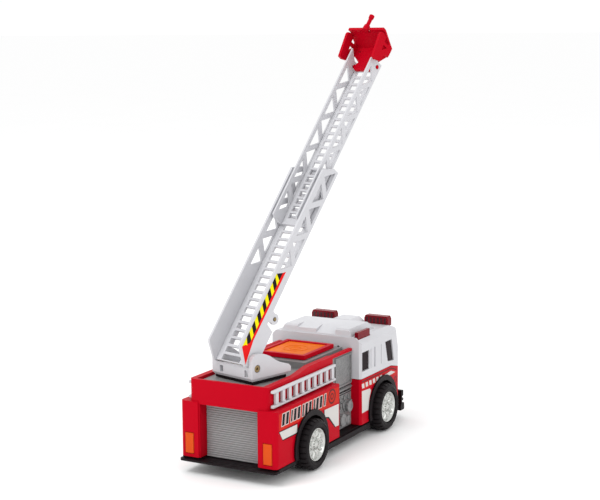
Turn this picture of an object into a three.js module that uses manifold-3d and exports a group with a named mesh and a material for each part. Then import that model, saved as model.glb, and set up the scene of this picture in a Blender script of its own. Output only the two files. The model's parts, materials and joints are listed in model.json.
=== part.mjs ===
// A toy fire engine: a four-wheeled truck with a turntable ladder that swivels, raises and extends,
// a tilting rescue basket and a press button. Millimetres, +Z up, front towards -Y, wheels on z = 0.

import * as THREE from "three";
import { mergeVertices } from "three/addons/utils/BufferGeometryUtils.js";
import Module from "manifold-3d";

const wasm = await Module();
wasm.setup();

// ---------------------------------------------------------------- driving dimensions

const GAP = 0.3; // clearance between neighbouring pieces
const RUN = 0.1; // radial clearance of a running fit

const AXLE_Z = 13.8;
const REAR_AXLE_Y = 37;
const FRONT_AXLE_Y = -50;
const AXLE_R = 1.5;
const AXLE_HALF = 31.5;
const TYRE_R = 13.8;
const TYRE_IN_R = 9.3;
const WHEEL_IN_X = 22.6;
const HUB_R = 9;
const ARCH_R = 17.2; // wheel arch cut in the painted body
const TRIM_IN_R = 15.4;
const TRIM_OUT_R = 18.6;

const BODY_X = 29.1; // half width of the lower body and the cab
const BODY_BOTTOM = 9;
const BODY_FRONT_Y = 4;
const BODY_REAR_Y = 73.2;
const SHOULDER_Z = 39.1;
const UPPER_X = 23.7;
const UPPER_FRONT_Y = 1.3;
const UPPER_REAR_Y = 72.4;
const RIM_IN_X = 20.2;
const RIM_LOW_Z = 51.2;
const RIM_HIGH_Z = 53.4;
const SKIN = 2; // wall thickness of the painted shells

const SHUTTER_X = 17.5;
const SHUTTER_TOP = 37.9;
const SHUTTER_Y = 66.4;
const SHUTTER_BOTTOM = 8.3;
const SHUTTER_RIBS = 24;

const DECK_Z = 49.6;
const PLATFORM_X = 17.5;
const PLATFORM_Z = 53.3;
const PLATFORM_REAR_Y = 22;
const BUTTON = { x: 15, y0: -16.5, y1: 18, rim: 2.6, top: 56 };

const LAMP = { x0: 21.2, x1: 26.2, z0: 11, z1: 22 };
const STEP_X = 29.4; // half width of the rear step
const PANEL_X = 23; // outer face of the pump panels

const CHASSIS_TOP = 8.7;
const CHASSIS_BOTTOM = 6.8;

const CAB_REAR_Y = -22.3;
const CAB_TAPER_Y = -61.8;
const CAB_FRONT_Y = -75.9;
const CAB_FRONT_X = 28.2;
const CAB_SPLIT_Z = 35.3;
const CAB_CREASE_Z = 56;
const ROOF_Z = 59;

const YAW = THREE.MathUtils.degToRad(-15); // the turntable's swivel at rest
const ELEVATION = THREE.MathUtils.degToRad(53.7); // the ladder's rise at rest
const PIVOT_Y = 51.74; // swivel axis
const PIN_BACK = 8.1; // the ladder's hinge pin, behind the swivel axis
const PIN_Z = 58.13;
const PIN_R = 1.2;
const PIN_HEAD_R = 1.85;
const TABLE = { x: 15.2, rear: 11.8, front: -16.5, bottom: 51.5, wall: 59 };

const LADDER = { x: 12.1, wall: 1.4, low: 4.2, floor: 5.7, top: 15.4, end: 116.3, rungHalf: 6.8 };
const EXTENSION = {
  x: 9.1, wall: 1.1, low: 6.25, floor: 7.5, top: 15.6, start: 80.5, end: 190, rungHalf: 5.3, runnerX: 10.4,
};
const LUG = { s: 28.2, n: 0.9 }; // the lug under the right wall, along and out from the ladder's pin
const SEAM = 0.1; // between a ladder's floor and its side walls
const RUNG_PITCH = 4.62;
const RUNG_OPENING = 3.2;
const TRUSS_PITCH = 20.5;
const BASKET = { x: 13, pivot: 182.2, pivotN: 8.9 };

// ---------------------------------------------------------------- looks

const LOOK = {
  red: [0xc80c23, 0.28, 0],
  white: [0xdcdce2, 0.35, 0],
  grey: [0x878585, 0.5, 0],
  black: [0x231a20, 0.6, 0],
  rubber: [0x1c1a1c, 0.75, 0],
  chrome: [0xd6d8d6, 0.18, 1],
  steel: [0xb5b5b0, 0.35, 1],
  brass: [0xb89a5a, 0.35, 1],
  orange: [0xde6e19, 0.2, 0],
  lamp: [0x6e141e, 0.15, 0],
  glass: [0x1d181c, 0.1, 0],
  board: [0x1f5a34, 0.5, 0],
};

// ---------------------------------------------------------------- solids

// A closed three.js geometry as a solid that can be joined and cut.
function solid(geometry) {
  const bare = geometry.clone();
  bare.deleteAttribute("normal");
  bare.deleteAttribute("uv");
  const merged = mergeVertices(bare, 1e-4);
  return new wasm.Manifold(
    new wasm.Mesh({
      numProp: 3,
      vertProperties: merged.attributes.position.array,
      triVerts: new Uint32Array(merged.index.array),
    }),
  );
}

function block(x0, x1, y0, y1, z0, z1) {
  const geometry = new THREE.BoxGeometry(x1 - x0, y1 - y0, z1 - z0);
  return solid(geometry.translate((x0 + x1) / 2, (y0 + y1) / 2, (z0 + z1) / 2));
}

// Turns a piece made along +Z so that its +Z runs along the given axis.
const TURN = {
  x: new THREE.Matrix4().set(0, 0, 1, 0, 1, 0, 0, 0, 0, 1, 0, 0, 0, 0, 0, 1),
  y: new THREE.Matrix4().set(1, 0, 0, 0, 0, 0, -1, 0, 0, 1, 0, 0, 0, 0, 0, 1),
  z: new THREE.Matrix4(),
};

// Extrudes an outline from one level to another along an axis. The outline's two coordinates are
// (y, z) for axis x, (x, z) for axis y and (x, y) for axis z.
function prism(outline, axis, from, to) {
  const shape = new THREE.Shape(outline.map(([u, v]) => new THREE.Vector2(u, v)));
  const geometry = new THREE.ExtrudeGeometry(shape, { depth: to - from, bevelEnabled: false });
  geometry.translate(0, 0, axis === "y" ? -to : from);
  return solid(geometry.applyMatrix4(TURN[axis]));
}

// A round bar from one level to another along an axis, centred on the other two coordinates.
function rod(axis, u, v, from, to, radius, endRadius = radius, segments = 16) {
  const geometry = new THREE.CylinderGeometry(endRadius, radius, to - from, segments);
  geometry.rotateX(Math.PI / 2).translate(0, 0, (to - from) / 2);
  if (axis === "y") return solid(geometry.applyMatrix4(TURN.y).translate(u, to, v));
  if (axis === "x") return solid(geometry.applyMatrix4(TURN.x).translate(from, u, v));
  return solid(geometry.translate(u, v, from));
}

// A turned piece from (radius, height) pairs, with its axis along +X, on the given side of the truck.
function turned(profile, side, segments = 24) {
  const points = profile.map(([r, h]) => new THREE.Vector2(r, h));
  const geometry = new THREE.LatheGeometry(points, segments);
  geometry.rotateZ(side > 0 ? -Math.PI / 2 : Math.PI / 2);
  return solid(geometry);
}

function arc(cx, cy, radius, from, to, steps) {
  return Array.from({ length: steps + 1 }, (_, i) => {
    const angle = from + ((to - from) * i) / steps;
    return [cx + radius * Math.cos(angle), cy + radius * Math.sin(angle)];
  });
}

// A rectangle whose corners are rounded by a radius.
function roundedBox(x0, x1, y0, y1, r, steps = 3) {
  const q = Math.PI / 2;
  return [
    ...arc(x1 - r, y1 - r, r, 0, q, steps),
    ...arc(x0 + r, y1 - r, r, q, 2 * q, steps),
    ...arc(x0 + r, y0 + r, r, 2 * q, 3 * q, steps),
    ...arc(x1 - r, y0 + r, r, 3 * q, 4 * q, steps),
  ];
}

const mirrorX = (outline) => outline.map(([x, y]) => [-x, y]).reverse();
const joined = (pieces) => pieces.reduce((a, b) => a.add(b));
const cut = (piece, cutters) => cutters.reduce((a, b) => a.subtract(b), piece);

function mesh(name, piece, look) {
  const { vertProperties, triVerts } = piece.getMesh();
  const geometry = new THREE.BufferGeometry();
  geometry.setAttribute("position", new THREE.BufferAttribute(vertProperties, 3));
  geometry.setIndex(new THREE.BufferAttribute(triVerts, 1));
  geometry.computeVertexNormals();
  const [color, roughness, metalness] = LOOK[look];
  const made = new THREE.Mesh(geometry, new THREE.MeshStandardMaterial({ color, roughness, metalness }));
  made.name = name;
  return made;
}

const SIDES = [
  ["left", 1],
  ["right", -1],
];
const AXLES = [
  ["front", FRONT_AXLE_Y],
  ["rear", REAR_AXLE_Y],
];

// Both sides of a block given for the left side.
const pair = (x0, x1, ...rest) => block(x0, x1, ...rest).add(block(-x1, -x0, ...rest));

const arches = (radius, x0) =>
  joined(
    AXLES.flatMap(([, y]) => [
      rod("x", y, AXLE_Z, x0, 40, radius, radius, 32),
      rod("x", y, AXLE_Z, -40, -x0, radius, radius, 32),
    ]),
  );

// ---------------------------------------------------------------- chassis

const SCREWS = [
  ["rear", 24, 67.5],
  ["front", 23.5, -69.5],
];
const BATTERY = { x: 11, y0: -13.8, y1: 2.2, top: 22.5 };

function chassis() {
  const plate = block(-27.5, 27.5, CAB_FRONT_Y + 1, BODY_REAR_Y - 2, CHASSIS_BOTTOM, CHASSIS_TOP);
  const boards = block(-29, 29, FRONT_AXLE_Y + 14, REAR_AXLE_Y - 14, 5, CHASSIS_TOP - 0.7);
  const tail = block(-STEP_X, STEP_X, 53, BODY_REAR_Y - 2, CHASSIS_BOTTOM, CHASSIS_TOP);
  const bearers = AXLES.map(([, y]) => pair(18.5, 21.3, y - 13, y + 13, CHASSIS_TOP - 0.5, 30));
  const cutters = [
    arches(TRIM_IN_R + 1.9, 22),
    ...AXLES.map(([, y]) => rod("x", y, AXLE_Z, -25, 25, AXLE_R + RUN)),
    block(-BATTERY.x - GAP, BATTERY.x + GAP, BATTERY.y0 - GAP, BATTERY.y1 + GAP, 0, 12),
    ...[-6, 0, 6].map((x) => block(x - 0.8, x + 0.8, 51, 61, 0, 12)),
    block(-SHUTTER_X - GAP, SHUTTER_X + GAP, SHUTTER_Y - 2, BODY_REAR_Y, SHUTTER_BOTTOM - GAP, 12),
    ...SCREWS.flatMap(([, x, y]) => [-x, x].map((sx) => rod("z", sx, y, 0, 12, 1.5))),
    ...SCREWS.flatMap(([, x, y]) => [-x, x].map((sx) => rod("z", sx, y, 0, 7.9, 2.6))),
  ];
  return cut(joined([plate, boards, tail, ...bearers]), cutters);
}

function screw(x, y) {
  const head = rod("z", x, y, 6.7, 7.6, 2.3, 2.3, 16);
  return cut(head.add(rod("z", x, y, 7.5, 16, 1.2, 1.2, 12)), [
    block(x - 1.3, x + 1.3, y - 0.3, y + 0.3, 5, 7.2),
    block(x - 0.3, x + 0.3, y - 1.3, y + 1.3, 5, 7.2),
  ]);
}

function frontBumper() {
  const y = CAB_FRONT_Y + 0.6;
  const outline = [
    [y, 5], [-80.6, 5], [-82, 6.2], [-82, 8], [-80.8, 9], [-77.4, 9.2], [-77.4, 10.7], [-79, 10.9],
    [-79, 12.3], [-77.4, 12.5], [-77.4, 13.4], [-79, 13.7], [-79, 16.9], [-78.6, 17.2],
    [CAB_FRONT_Y - GAP, 17.2], [CAB_FRONT_Y - GAP, CHASSIS_TOP], [y, CHASSIS_TOP],
  ];
  const ends = prism(roundedBox(-29.3, 29.3, -82.5, -70, 3), "z", 4, 18);
  return prism(outline, "x", -29.3, 29.3).intersect(ends);
}

const rearStep = () =>
  prism(
    [
      ...arc(STEP_X - 2.4, 72.9, 2.4, 0, Math.PI / 2, 4),
      ...arc(2.4 - STEP_X, 72.9, 2.4, Math.PI / 2, Math.PI, 4),
      [-STEP_X, BODY_REAR_Y - 2 + GAP],
      [STEP_X, BODY_REAR_Y - 2 + GAP],
    ],
    "z",
    CHASSIS_BOTTOM,
    SHUTTER_BOTTOM - GAP,
  );

// A black lip round a wheel arch: a liner inside the arch and a flange that covers its edge.
function archTrim(y, side) {
  const start = -0.4;
  const ring = (outer) => [
    ...arc(y, AXLE_Z, outer, start, Math.PI - start, 14),
    ...arc(y, AXLE_Z, TRIM_IN_R, Math.PI - start, start, 14),
  ];
  const along = (outer, x0, x1) => prism(ring(outer), "x", Math.min(x0, x1), Math.max(x0, x1));
  const liner = along(ARCH_R - GAP, side * 23, side * (BODY_X + 1.3));
  const flange = along(TRIM_OUT_R, side * (BODY_X + GAP), side * (BODY_X + 1.3));
  return liner.add(flange).subtract(block(-40, 40, y - 30, y + 30, 0, CHASSIS_TOP + GAP));
}

// ---------------------------------------------------------------- wheels

const tyreProfile = [
  [TYRE_IN_R, 0], [13, 0], [TYRE_R, 1.6], [TYRE_R, 9.4], [13.2, 11], [11.6, 11.3], [TYRE_IN_R, 10.2],
].map(([r, h]) => [r, h + WHEEL_IN_X]);

const hubProfile = [
  [AXLE_R + GAP, 1.2], [HUB_R, 1.2], [HUB_R, 9.8], [8.2, 10.6], [7, 9.2], [3.8, 8.8], [3, 10.6],
  [0, 10.6], [0, 9.2], [AXLE_R + GAP, 9.2],
].map(([r, h]) => [r, h + WHEEL_IN_X]);

const closed = (profile) => [...profile, profile[0]];

// ---------------------------------------------------------------- rear body

function bodyShell() {
  const lower = prism(
    [
      [BODY_X, BODY_FRONT_Y],
      ...arc(BODY_X - 2.2, BODY_REAR_Y - 2.2, 2.2, 0, Math.PI / 2, 4),
      ...arc(2.2 - BODY_X, BODY_REAR_Y - 2.2, 2.2, Math.PI / 2, Math.PI, 4),
      [-BODY_X, BODY_FRONT_Y],
    ],
    "z",
    BODY_BOTTOM,
    SHOULDER_Z,
  );
  const upper = prism(
    [
      [UPPER_X, UPPER_FRONT_Y],
      ...arc(UPPER_X - 2.2, UPPER_REAR_Y - 2.2, 2.2, 0, Math.PI / 2, 4),
      ...arc(2.2 - UPPER_X, UPPER_REAR_Y - 2.2, 2.2, Math.PI / 2, Math.PI, 4),
      [-UPPER_X, UPPER_FRONT_Y],
    ],
    "z",
    SHOULDER_Z - 1,
    RIM_HIGH_Z,
  );
  const overLowRim = prism(
    [[28, RIM_HIGH_Z], [43, RIM_LOW_Z], [80, RIM_LOW_Z], [80, 60], [28, 60]],
    "x",
    -30,
    30,
  );
  const strips = pair(RIM_IN_X + 1.2, UPPER_X, CAB_REAR_Y + GAP, UPPER_FRONT_Y + 1, 51.9, RIM_HIGH_Z);
  const housing = block(-SHUTTER_X - 1.8, SHUTTER_X + 1.8, 62.6, BODY_REAR_Y - 1, BODY_BOTTOM, 39.5);
  const [, screwX, screwY] = SCREWS[0];
  const bosses = [-screwX, screwX].map((sx) => rod("z", sx, screwY, BODY_BOTTOM, 30, 3.3));
  const hollow = [
    block(SKIN - BODY_X, BODY_X - SKIN, BODY_FRONT_Y + SKIN, BODY_REAR_Y - SKIN, 0, SHOULDER_Z - SKIN),
    block(-RIM_IN_X, RIM_IN_X, UPPER_FRONT_Y - 3, UPPER_REAR_Y - 1.6, 36, 60),
    arches(ARCH_R, 20),
    overLowRim,
  ];
  const shell = cut(lower.add(upper), hollow);
  return cut(joined([shell, strips, housing, ...bosses]), [
    block(-SHUTTER_X, SHUTTER_X, 64.4, 80, 0, SHUTTER_TOP),
    block(-18.2, 18.2, BODY_REAR_Y - 0.7, 80, 0, 60),
    pair(LAMP.x0 - GAP, LAMP.x1 + GAP, BODY_REAR_Y - 1.1, 80, LAMP.z0 - GAP, LAMP.z1 + GAP),
    ...[-screwX, screwX].map((sx) => rod("z", sx, screwY, 0, 18, 1.5)),
  ]);
}

function rollerShutter() {
  const pitch = (SHUTTER_TOP - SHUTTER_BOTTOM - GAP) / SHUTTER_RIBS;
  const z0 = SHUTTER_BOTTOM;
  const ribs = Array.from({ length: SHUTTER_RIBS }, (_, i) => [
    [SHUTTER_Y - 0.45, z0 + i * pitch],
    [SHUTTER_Y, z0 + (i + 0.3) * pitch],
    [SHUTTER_Y, z0 + (i + 0.7) * pitch],
  ]).flat();
  const top = [SHUTTER_Y - 0.45, z0 + SHUTTER_RIBS * pitch];
  return prism([[64.7, z0], ...ribs, top, [64.7, top[1]]], "x", GAP - SHUTTER_X, SHUTTER_X - GAP);
}

const rearLamp = (side) => {
  const left = block(LAMP.x0, LAMP.x1, BODY_REAR_Y - 0.8, BODY_REAR_Y + 0.3, LAMP.z0, LAMP.z1);
  return side > 0 ? left : left.mirror([1, 0, 0]);
};

function sideLadder(side) {
  const [y0, y1, z0, z1] = [1.5, 70.2, SHOULDER_Z + 0.9, 49.3];
  const [rungs, pitch, rail, bar] = [10, 6.8, 1.5, 2.8];
  const [x0, x1] = [UPPER_X + GAP, UPPER_X + 2.1];
  const rails = [
    block(x0, x1, y0, y1, z0, z0 + rail),
    block(x0, x1, y0, y1, z1 - rail, z1),
  ];
  const bars = Array.from({ length: rungs }, (_, i) => {
    const y = y1 - 3.4 - bar - i * pitch;
    return block(x0, x1 - 0.4, y, y + bar, z0 + rail / 2, z1 - rail / 2);
  });
  const left = joined([...rails, ...bars]);
  return side > 0 ? left : left.mirror([1, 0, 0]);
}

// The grey deck between the rims, with the raised platform that holds the press button.
function deck() {
  const x = RIM_IN_X - GAP;
  const y0 = CAB_REAR_Y + GAP;
  const wall = 1.5;
  const plate = block(-x, x, y0, UPPER_REAR_Y - 1.6 - GAP, DECK_Z - 2, DECK_Z);
  const platform = block(-PLATFORM_X, PLATFORM_X, y0, PLATFORM_REAR_Y, DECK_Z - 2, PLATFORM_Z);
  const collar = rod("z", 0, PIVOT_Y, DECK_Z - 4, TABLE.bottom - GAP, 9.5, 9.5, 24);
  const inside = block(
    wall - PLATFORM_X, PLATFORM_X - wall, y0 + wall, PLATFORM_REAR_Y - wall, 40, PLATFORM_Z - wall,
  );
  const posts = [-1, 1].flatMap((side) => [
    rod("z", side * 14, -18.5, 42.3, PLATFORM_Z - 1, 1.6, 1.6, 12),
    rod("z", side * 14, 18.5, 42.3, PLATFORM_Z - 1, 1.6, 1.6, 12),
  ]);
  const hollowed = joined([plate, platform]).subtract(inside);
  return joined([hollowed, collar, ...posts])
    .subtract(buttonHole(GAP))
    .subtract(rod("z", 0, PIVOT_Y, 40, 60, 5 + GAP, 5 + GAP, 24));
}

// The opening that the button's lens moves in, widened by a clearance.
function buttonHole(clearance) {
  const x = BUTTON.x - BUTTON.rim + clearance;
  return block(-x, x, BUTTON.y0 + BUTTON.rim - clearance, BUTTON.y1 - BUTTON.rim + clearance, 40, 60);
}

function pumpPanel(side) {
  const plate = prism(
    [
      [CAB_REAR_Y + GAP, 9.3], [BODY_FRONT_Y - GAP, 9.3], [BODY_FRONT_Y - GAP, SHOULDER_Z - 1.3],
      [UPPER_FRONT_Y - GAP, SHOULDER_Z - 1.3], [UPPER_FRONT_Y - GAP, 51.6], [CAB_REAR_Y + GAP, 51.6],
    ],
    "x",
    20.6,
    PANEL_X,
  );
  const inside = PANEL_X - 0.4;
  const frame = block(inside, PANEL_X + 0.6, -21.8, -2.4, 33.6, 50.9)
    .subtract(block(PANEL_X, PANEL_X + 1, -20.7, -5.6, 34.4, 49.9));
  const ledge = block(inside, PANEL_X + 0.8, -21.8, 3.4, 31.4, 32.1);
  const valves = [
    rod("x", -15.5, 21.5, inside, PANEL_X + 3, 3.1, 3.1, 16),
    rod("x", -6.5, 15.5, inside, PANEL_X + 3.6, 3.4, 3.4, 16),
    rod("x", -14.5, 14, inside, PANEL_X + 2.4, 2.4, 2.4, 16),
    rod("z", PANEL_X + 1.2, -1, 11, 24, 1.2, 1.2, 12),
    block(inside, PANEL_X + 2.2, -2, 0, 22.6, 24.6),
  ];
  const right = joined([plate, frame, ledge, ...valves]);
  return side > 0 ? right : right.mirror([1, 0, 0]);
}

// ---------------------------------------------------------------- press button

const LENS_BOTTOM = 50.5;
const BUTTON_Y = (BUTTON.y0 + BUTTON.y1) / 2;

const buttonBezel = () =>
  block(-BUTTON.x, BUTTON.x, BUTTON.y0, BUTTON.y1, PLATFORM_Z + GAP, BUTTON.top).subtract(buttonHole(0));

function buttonLens() {
  const x = BUTTON.x - BUTTON.rim - GAP;
  const [y0, y1] = [BUTTON.y0 + BUTTON.rim + GAP, BUTTON.y1 - BUTTON.rim - GAP];
  const top = block(-x, x, y0, y1, LENS_BOTTOM, BUTTON.top - 0.6);
  const flange = block(-x - 1.4, x + 1.4, y0 - 1.4, y1 + 1.4, LENS_BOTTOM + 0.9, PLATFORM_Z - 1.5 - GAP);
  const hollow = block(1.5 - x, x - 1.5, y0 + 1.5, y1 - 1.5, LENS_BOTTOM - 1, BUTTON.top - 2);
  return top.add(flange).subtract(hollow).add(rod("z", 0, BUTTON_Y, 47.4, BUTTON.top - 1, 2, 2, 16));
}

function buttonSpring() {
  const [turns, steps, radius, z0, z1] = [4, 8, 6.2, 42.8, LENS_BOTTOM + 3.1];
  const pitch = (z1 - z0) / (turns * steps);
  const coil = Array.from({ length: turns * steps + 1 }, (_, i) => {
    const angle = (2 * Math.PI * i) / steps;
    return new THREE.Vector3(radius * Math.cos(angle), BUTTON_Y + radius * Math.sin(angle), z0 + i * pitch);
  });
  const extrudePath = new THREE.CatmullRomCurve3(coil);
  const section = arc(0, 0, 0.4, 0, 2 * Math.PI, 5).slice(0, 5);
  const wire = new THREE.Shape(section.map(([u, v]) => new THREE.Vector2(u, v)));
  const options = { steps: turns * steps, bevelEnabled: false, extrudePath };
  return solid(new THREE.ExtrudeGeometry(wire, options));
}

const circuitBoard = () => block(-15.5, 15.5, -20, 20.3, 40.5, 42);
const tactSwitch = () =>
  block(-3, 3, BUTTON_Y - 3, BUTTON_Y + 3, 42.3, 45.2).add(rod("z", 0, BUTTON_Y, 45, 46, 1.6, 1.6, 12));
const lightDiode = () =>
  rod("z", 9.2, BUTTON_Y, 42.3, 47, 1.5, 1.3, 12).add(rod("z", 9.2, BUTTON_Y, 42.3, 43.1, 1.9, 1.9, 12));

// ---------------------------------------------------------------- batteries and speaker

function batteryHolder() {
  const { x, y0, y1, top } = BATTERY;
  const z = CHASSIS_TOP + GAP;
  const tray = block(-x - 1.5, x + 1.5, y0 - 1.5, y1 + 1.5, z, top);
  return tray.subtract(block(-x + 0.6, x - 0.6, y0, y1, 0, top - 1.2));
}

const batteryCell = (i) => {
  const start = -8.7 + i * 5.9;
  return rod("x", (BATTERY.y0 + BATTERY.y1) / 2, 15.4, start, start + 5.6, 5.7, 5.7, 24);
};
const batteryCover = () =>
  block(-BATTERY.x, BATTERY.x, BATTERY.y0, BATTERY.y1, CHASSIS_BOTTOM - 1, CHASSIS_TOP - 0.7);
const speaker = () =>
  rod("z", 0, 56, CHASSIS_TOP + GAP, 11, 6.1, 6.1, 24).add(rod("z", 0, 56, 10.5, 14, 3.4, 3.4, 24));

// ---------------------------------------------------------------- cab

const cabPlan = (inset) => [
  [BODY_X - inset, CAB_REAR_Y - 1.2 - inset],
  [BODY_X - 1.2 - inset, CAB_REAR_Y - inset],
  [-BODY_X + 1.2 + inset, CAB_REAR_Y - inset],
  [-BODY_X + inset, CAB_REAR_Y - 1.2 - inset],
  [-BODY_X + inset, CAB_TAPER_Y],
  [-CAB_FRONT_X + inset, CAB_FRONT_Y + 2.5 + inset],
  [-CAB_FRONT_X + 2.5 + inset, CAB_FRONT_Y + inset],
  [CAB_FRONT_X - 2.5 - inset, CAB_FRONT_Y + inset],
  [CAB_FRONT_X - inset, CAB_FRONT_Y + 2.5 + inset],
  [BODY_X - inset, CAB_TAPER_Y],
];

// The side view of the cab's leaning front and falling roof, moved in by a wall thickness.
const cabSide = (inset) => [
  [10, 0], [CAB_FRONT_Y + inset, 0], [CAB_FRONT_Y + inset, 37], [-73.8 + inset, 43.6],
  [-71.6 + inset, 50], [-70.7 + inset, 54.4], [-69 + inset, 57.4 - inset], [-64 + inset, ROOF_Z - inset],
  [10, ROOF_Z + 0.3 - inset],
];

// The front view of the cab's upper corners.
const cabFront = (inset) => [
  [-40, 0], [40, 0], [40, CAB_CREASE_Z - 11 - inset], [BODY_X - inset, CAB_CREASE_Z - inset],
  [25.5 - inset, 59.6 - inset], [-25.5 + inset, 59.6 - inset], [-BODY_X + inset, CAB_CREASE_Z - inset],
  [-40, CAB_CREASE_Z - 11 - inset],
];

const cabSolid = (inset, z0, z1) =>
  prism(cabPlan(inset), "z", z0, z1)
    .intersect(prism(cabSide(inset), "x", -40, 40))
    .intersect(prism(cabFront(inset), "y", -90, 0));

// Everything above the line where the cab's paint changes: level at the sides, lower at the front.
function aboveSplit(rise) {
  const high = CAB_SPLIT_Z + rise;
  const low = high - 2.6;
  const outline = [[10, high], [CAB_TAPER_Y, high], [CAB_FRONT_Y + 3, low], [-90, low], [-90, 80], [10, 80]];
  return prism(outline, "x", -40, 40);
}

function cabLower() {
  const shell = cabSolid(0, BODY_BOTTOM - 0.3, 50)
    .subtract(cabSolid(SKIN, 0, 60))
    .subtract(aboveSplit(0));
  const [, screwX, screwY] = SCREWS[1];
  const posts = [-screwX, screwX].map((sx) => rod("z", sx, screwY, CHASSIS_TOP + GAP, 26, 3.2));
  const bosses = posts.map((post) => post.intersect(cabSolid(1, 0, 60)));
  return cut(joined([shell, ...bosses]), [
    arches(ARCH_R, 20),
    block(-40, 40, -90, 0, 0, CHASSIS_TOP + GAP),
    ...[-screwX, screwX].map((sx) => rod("z", sx, screwY, 0, 18, 1.5)),
  ]);
}

const WINDOWS = [
  [[-24, 50.7], [-24, 39.7], [-33.2, 39.7], [-33.2, 50.7]],
  [[-54, 51.2], [-57.4, 39], [-66.6, 37.9], [-63, 51.2]],
];
// Shallow grooves round the crew door and its slot: the groove's rear edge and width.
const DOOR_GROOVES = [[-35, 0.6], [-39.7, 1.4], [-48.4, 0.6]];

// Door windows and windscreen openings through the cab's walls.
const windowCutters = (grow) => [
  ...WINDOWS.map((outline) => prism(grown(outline, grow), "x", -40, 40)),
  prism(grown([[-24.5, 39], [24.5, 39], [24.5, 53], [-24.5, 53]], grow), "y", -90, -62),
];

function grown(outline, by) {
  const [cu, cv] = [0, 1].map((k) => outline.reduce((sum, p) => sum + p[k], 0) / outline.length);
  return outline.map(([u, v]) => [u + Math.sign(u - cu) * by, v + Math.sign(v - cv) * by]);
}

const ROOF_BLOCK = { x: 22.4, topX: 20.5, rear: -23, front: -48, top: 63.4, rampX: 12.3, rampY: -31.5 };

function cabUpper() {
  const { x, topX, rear, front, top, rampX, rampY } = ROOF_BLOCK;
  const shell = cabSolid(0, 0, 70).subtract(cabSolid(SKIN, 0, 60)).intersect(aboveSplit(GAP));
  const ends = [[-x, 57.5], [x, 57.5], [x, 59.8], [topX, top], [-topX, top], [-x, 59.8]];
  const profile = [
    [rear, 57], [rear - 0.8, top - 1], [rear - 2, top], [front, top], [front - 5, 59], [front - 5, 57],
  ];
  const raised = prism(ends, "y", front - 6, rear).intersect(prism(profile, "x", -40, 40));
  const ramp = (foot) => [[rampY, top + 0.5], [rampY, top], [rear + 1, foot], [rear + 1, top + 0.5]];
  const ramps = [prism(ramp(59.3), "x", -rampX, 0), prism(ramp(61.6), "x", -1, rampX)];
  const bumpEnds = [[-8.3, 58], [8.3, 58], [8.3, 59.8], [5.3, 62], [-5.3, 62], [-8.3, 59.8]];
  const bump = prism(bumpEnds, "y", -68, -55);
  const cutters = [
    ...windowCutters(0),
    ...beaconSeats(GAP),
    ...DOOR_GROOVES.map(([y, width]) => pair(BODY_X - 0.8, 40, y - width, y, 39.4, 51)),
    rod("y", -14.8, 53, -30, -20, 0.9, 0.9, 12),
  ];
  return cut(joined([shell, raised, bump]), [...ramps, ...cutters]);
}

const frontBeacon = (side, grow = 0) => {
  const [x0, x1] = [9.9 - grow, 25.5 + grow];
  const outline = [
    [x0, 59 - grow], [x1, 58 - grow], [x1, 62], [x1 - 0.8, 63.7], [x0 + 0.8, 63.7], [x0, 62],
  ];
  return prism(side > 0 ? outline : mirrorX(outline), "y", -70 - grow, -65 + grow);
};
// The small beacon along the right edge of the roof.
const sideBeacon = (grow = 0) => {
  const [x0, x1] = [24.4 - grow, 26.8 + grow];
  const outline = [[x0, 57.6 - grow], [x1, 57.6 - grow], [x1 - 0.1, 62.1], [x0 + 0.2, 62.1]];
  return prism(mirrorX(outline), "y", -38.5 - grow, -23.5 + grow);
};
const beaconSeats = (grow) => [...SIDES.map(([, side]) => frontBeacon(side, grow)), sideBeacon(grow)];

// The tinted window insert behind the cab's openings, with panes that stand in them.
function cabGlass() {
  const layer = cabSolid(SKIN + GAP, 0, 60).subtract(cabSolid(SKIN + 1.3, 0, 60));
  const band = layer.intersect(block(-40, 40, -90, CAB_REAR_Y - 1, 37, 54));
  const panes = cabSolid(0.7, 0, 60).subtract(cabSolid(SKIN + 0.8, 0, 60));
  return band.add(panes.intersect(joined(windowCutters(-GAP))));
}

// ---------------------------------------------------------------- turntable and ladder

function turntable() {
  const { x, rear, front, bottom, wall } = TABLE;
  const side = [
    [rear, 53], [rear, 62.6], [rear - 0.8, 64.6], [rear - 2.8, 65.7], [4.7, 65.5], [1.8, 64.7],
    [-1.1, 63.4], [-5.4, 60.6], [-10.6, 57.9], [-15, 56.9], [front, 55.4], [front, 53],
    [front + 1, bottom], [rear - 1, bottom],
  ];
  const inner = LADDER.x + GAP;
  const body = prism(side, "x", -x, x);
  const well = block(-inner, inner, -10.6, rear - 1.2, 53, 80);
  const overRear = block(-inner, inner, rear - 2, rear + 1, wall, 80);
  const overFront = block(-inner, inner, front - 1, -10, 57, 80);
  const taperEnd = [
    [-x - 1, bottom - 1], [-x - 1, bottom + 1.5], [-x, bottom + 1.5], [1 - x, bottom - 0.01],
    [1 - x, bottom - 1],
  ];
  const taper = prism(taperEnd, "y", front - 1, rear + 1);
  const slots = [6.9, -11.9].map((slotX) => block(slotX, slotX + 2.6, rear - 2, rear + 1, 53.7, 57.2));
  const spigot = rod("z", 0, 0, 42.4, bottom + 0.5, 5, 5, 24);
  const bores = [
    rod("x", PIN_BACK, PIN_Z, -x - 1, x + 1, PIN_R + RUN),
    rod("x", PIN_BACK, PIN_Z, -x - 1, 0.9 - x, PIN_HEAD_R + GAP),
    rod("x", PIN_BACK, PIN_Z, x - 0.9, x + 1, PIN_HEAD_R + GAP),
    rod("z", 0, 0, 40, 49, 1.5),
  ];
  const cutters = [well, overRear, overFront, taper, taper.mirror([1, 0, 0]), ...slots];
  return cut(body, cutters).add(spigot).subtract(joined(bores));
}

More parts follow.
